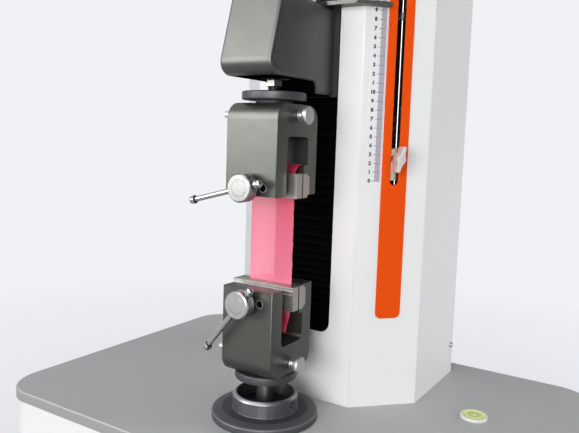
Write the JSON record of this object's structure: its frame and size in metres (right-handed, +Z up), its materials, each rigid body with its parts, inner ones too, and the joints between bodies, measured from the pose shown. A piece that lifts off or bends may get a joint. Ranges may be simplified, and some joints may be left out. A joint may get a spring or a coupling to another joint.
{
  "type": "tensile strength tester",
  "caption": "Bench single-column tensile tester for film: base with screw-driven crosshead on a column, load cell, and two screw-closed grips holding a strip of film.",
  "frame": {"origin": "middle of the footprint, on the surface that the levelling feet stand on", "axes": "+Z up along the column, -Y towards the operator, +X to the operator's right"},
  "size_m": [0.624, 0.422, 1.317],
  "materials": {
    "bellows_cloth": "coated black cloth",
    "black_plastic": "fine matt",
    "bright_steel": "turned and polished",
    "dark_alu": "dark anodised",
    "film_pink": "translucent film",
    "grip_grey": "fine hammered dark grey",
    "hood_grey": "fine textured grey",
    "jaw_steel": "ground",
    "knob_plastic": "light grey",
    "level_liquid": "clear yellow-green",
    "machined_alu": "machined",
    "motor_black": "matt black",
    "orange_paint": "smooth orange",
    "panel_plastic": "fine matt black",
    "red_plastic": "smooth",
    "rubber_black": "matt black rubber on a steel stem",
    "scale_tape": "printed tape",
    "screen_glass": "smooth dark glass",
    "stop_plastic": "beige grey",
    "top_plate_paint": "fine satin grey paint",
    "white_paint": "smooth white powder coat",
    "yellow_plastic": "smooth",
    "zinc_sheet": "plain zinc-plated sheet"
  },
  "bodies": {
    "root": {"base_housing": "white_paint", "base_top_plate": "top_plate_paint", "base_pan": "zinc_sheet", "control_panel_bezel": "panel_plastic", "touch_screen": "screen_glass", "emergency_stop_collar": "yellow_plastic", "mains_inlet": "black_plastic", "bullseye_level": "level_liquid", "column_cover": "white_paint", "column_cap": "white_paint", "column_back_cover": "white_paint", "cover_screws": "bright_steel", "column_backbone": "machined_alu", "guide_rails": "bright_steel", "screw_bearings": "motor_black", "drive_motor": "motor_black", "lower_bellows": "bellows_cloth", "upper_bellows": "bellows_cloth", "side_strip": "orange_paint", "ruler_scale": "scale_tape", "limit_rod": "bright_steel", "lower_mount_flange": "dark_alu", "lower_stud": "bright_steel", "lower_grip_frame": "grip_grey", "lower_fixed_jaw": "jaw_steel", "film_specimen": "film_pink"},
    "stop_button": {"emergency_stop_button": "red_plastic"},
    "rocker": {"power_rocker": "black_plastic"},
    "drive_screw": {"ball_screw": "bright_steel", "shaft_coupling": "machined_alu"},
    "lower_stop": {"lower_limit_stop": "stop_plastic"},
    "lower_knob": {"lower_stop_knob": "knob_plastic"},
    "upper_stop": {"upper_limit_stop": "stop_plastic"},
    "upper_knob": {"upper_stop_knob": "knob_plastic"},
    "crosshead": {"crosshead_arm": "dark_alu", "rail_blocks": "bright_steel", "ball_nut": "bright_steel", "load_cell": "machined_alu", "crosshead_cover": "hood_grey", "hood_plug": "hood_grey", "pointer_plate": "hood_grey", "trip_finger": "black_plastic", "load_cell_nut": "bright_steel", "upper_stud": "bright_steel", "upper_grip_frame": "grip_grey", "upper_fixed_jaw": "jaw_steel"},
    "lower_jaw": {"lower_moving_jaw": "jaw_steel"},
    "lower_clamp": {"lower_clamp_screw": "bright_steel"},
    "lower_bar": {"lower_tommy_bar": "bright_steel"},
    "lower_pin": {"lower_cross_pin": "bright_steel"},
    "lower_disc": {"lower_lock_disc": "dark_alu"},
    "upper_jaw": {"upper_moving_jaw": "jaw_steel"},
    "upper_clamp": {"upper_clamp_screw": "bright_steel"},
    "upper_bar": {"upper_tommy_bar": "bright_steel"},
    "upper_pin": {"upper_cross_pin": "bright_steel"},
    "upper_disc": {"upper_lock_disc": "dark_alu"},
    "foot_front_left": {"levelling_foot_front_left": "rubber_black"},
    "foot_front_right": {"levelling_foot_front_right": "rubber_black"},
    "foot_rear_left": {"levelling_foot_rear_left": "rubber_black"},
    "foot_rear_right": {"levelling_foot_rear_right": "rubber_black"}
  },
  "joints": [
    {"name": "crosshead_slide", "type": "slide", "parent": "root", "child": "crosshead", "axis": [0, 0, 1], "range_m": [-0.07, 0.405], "deforming": ["lower_bellows", "upper_bellows", "film_specimen"]},
    {"name": "ball_screw_turn", "type": "hinge", "parent": "root", "child": "drive_screw", "pos_m": [0, 0.042, 0.23], "axis": [0, 0, 1], "range_deg": [-14600, 2530]},
    {"name": "lower_clamp_turn", "type": "hinge", "parent": "lower_jaw", "child": "lower_clamp", "pos_m": [0, -0.134, 0.323], "axis": [0, -1, 0], "range_deg": [0, 1440]},
    {"name": "lower_jaw_slide", "type": "slide", "parent": "root", "child": "lower_jaw", "axis": [0, -1, 0], "range_m": [0, 0.008]},
    {"name": "lower_bar_slide", "type": "slide", "parent": "lower_clamp", "child": "lower_bar", "axis": [0.6211, 0, 0.7837], "range_m": [0, 0.048]},
    {"name": "lower_pin_slide", "type": "slide", "parent": "root", "child": "lower_pin", "axis": [1, 0, 0], "range_m": [0, 0.075]},
    {"name": "lower_disc_turn", "type": "hinge", "parent": "root", "child": "lower_disc", "pos_m": [0, -0.088, 0.235], "axis": [0, 0, 1], "range_deg": [0, 720]},
    {"name": "upper_clamp_turn", "type": "hinge", "parent": "upper_jaw", "child": "upper_clamp", "pos_m": [0, -0.134, 0.446], "axis": [0, -1, 0], "range_deg": [0, 1440]},
    {"name": "upper_jaw_slide", "type": "slide", "parent": "crosshead", "child": "upper_jaw", "axis": [0, -1, 0], "range_m": [0, 0.008]},
    {"name": "upper_bar_slide", "type": "slide", "parent": "upper_clamp", "child": "upper_bar", "axis": [0.9659, 0, 0.2588], "range_m": [0, 0.048]},
    {"name": "upper_pin_slide", "type": "slide", "parent": "crosshead", "child": "upper_pin", "axis": [1, 0, 0], "range_m": [0, 0.075]},
    {"name": "upper_disc_turn", "type": "hinge", "parent": "crosshead", "child": "upper_disc", "pos_m": [0, -0.088, 0.5425], "axis": [0, 0, 1], "range_deg": [0, 720]},
    {"name": "lower_stop_slide", "type": "slide", "parent": "root", "child": "lower_stop", "axis": [0, 0, 1], "range_m": [-0.002, 0.07]},
    {"name": "lower_knob_turn", "type": "hinge", "parent": "lower_stop", "child": "lower_knob", "pos_m": [0.10798, 0.00398, 0.47875], "axis": [0.7071, -0.7071, 0], "range_deg": [0, 360]},
    {"name": "upper_stop_slide", "type": "slide", "parent": "root", "child": "upper_stop", "axis": [0, 0, 1], "range_m": [-0.015, 0.15]},
    {"name": "upper_knob_turn", "type": "hinge", "parent": "upper_stop", "child": "upper_knob", "pos_m": [0.10798, 0.00398, 1.08975], "axis": [0.7071, -0.7071, 0], "range_deg": [0, 360]},
    {"name": "emergency_stop_push", "type": "slide", "parent": "root", "child": "stop_button", "axis": [0, 0, -1], "range_m": [0, 0.004]},
    {"name": "power_rocker_tilt", "type": "hinge", "parent": "root", "child": "rocker", "pos_m": [-0.15, 0.202, 0.085], "axis": [1, 0, 0], "range_deg": [-20, 0]},
    {"name": "foot_front_left_turn", "type": "hinge", "parent": "root", "child": "foot_front_left", "pos_m": [-0.25, -0.149, 0.012], "axis": [0, 0, 1], "range_deg": [-720, 720]},
    {"name": "foot_front_right_turn", "type": "hinge", "parent": "root", "child": "foot_front_right", "pos_m": [0.25, -0.149, 0.012], "axis": [0, 0, 1], "range_deg": [-720, 720]},
    {"name": "foot_rear_left_turn", "type": "hinge", "parent": "root", "child": "foot_rear_left", "pos_m": [-0.25, 0.149, 0.012], "axis": [0, 0, 1], "range_deg": [-720, 720]},
    {"name": "foot_rear_right_turn", "type": "hinge", "parent": "root", "child": "foot_rear_right", "pos_m": [0.25, 0.149, 0.012], "axis": [0, 0, 1], "range_deg": [-720, 720]}
  ],
  "couplings": [
    {"joint": "ball_screw_turn", "follows": "crosshead_slide", "rad_per_m": -628.32},
    {"joint": "lower_jaw_slide", "follows": "lower_clamp_turn", "m_per_rad": 0.0003183},
    {"joint": "upper_jaw_slide", "follows": "upper_clamp_turn", "m_per_rad": 0.0003183}
  ]
}
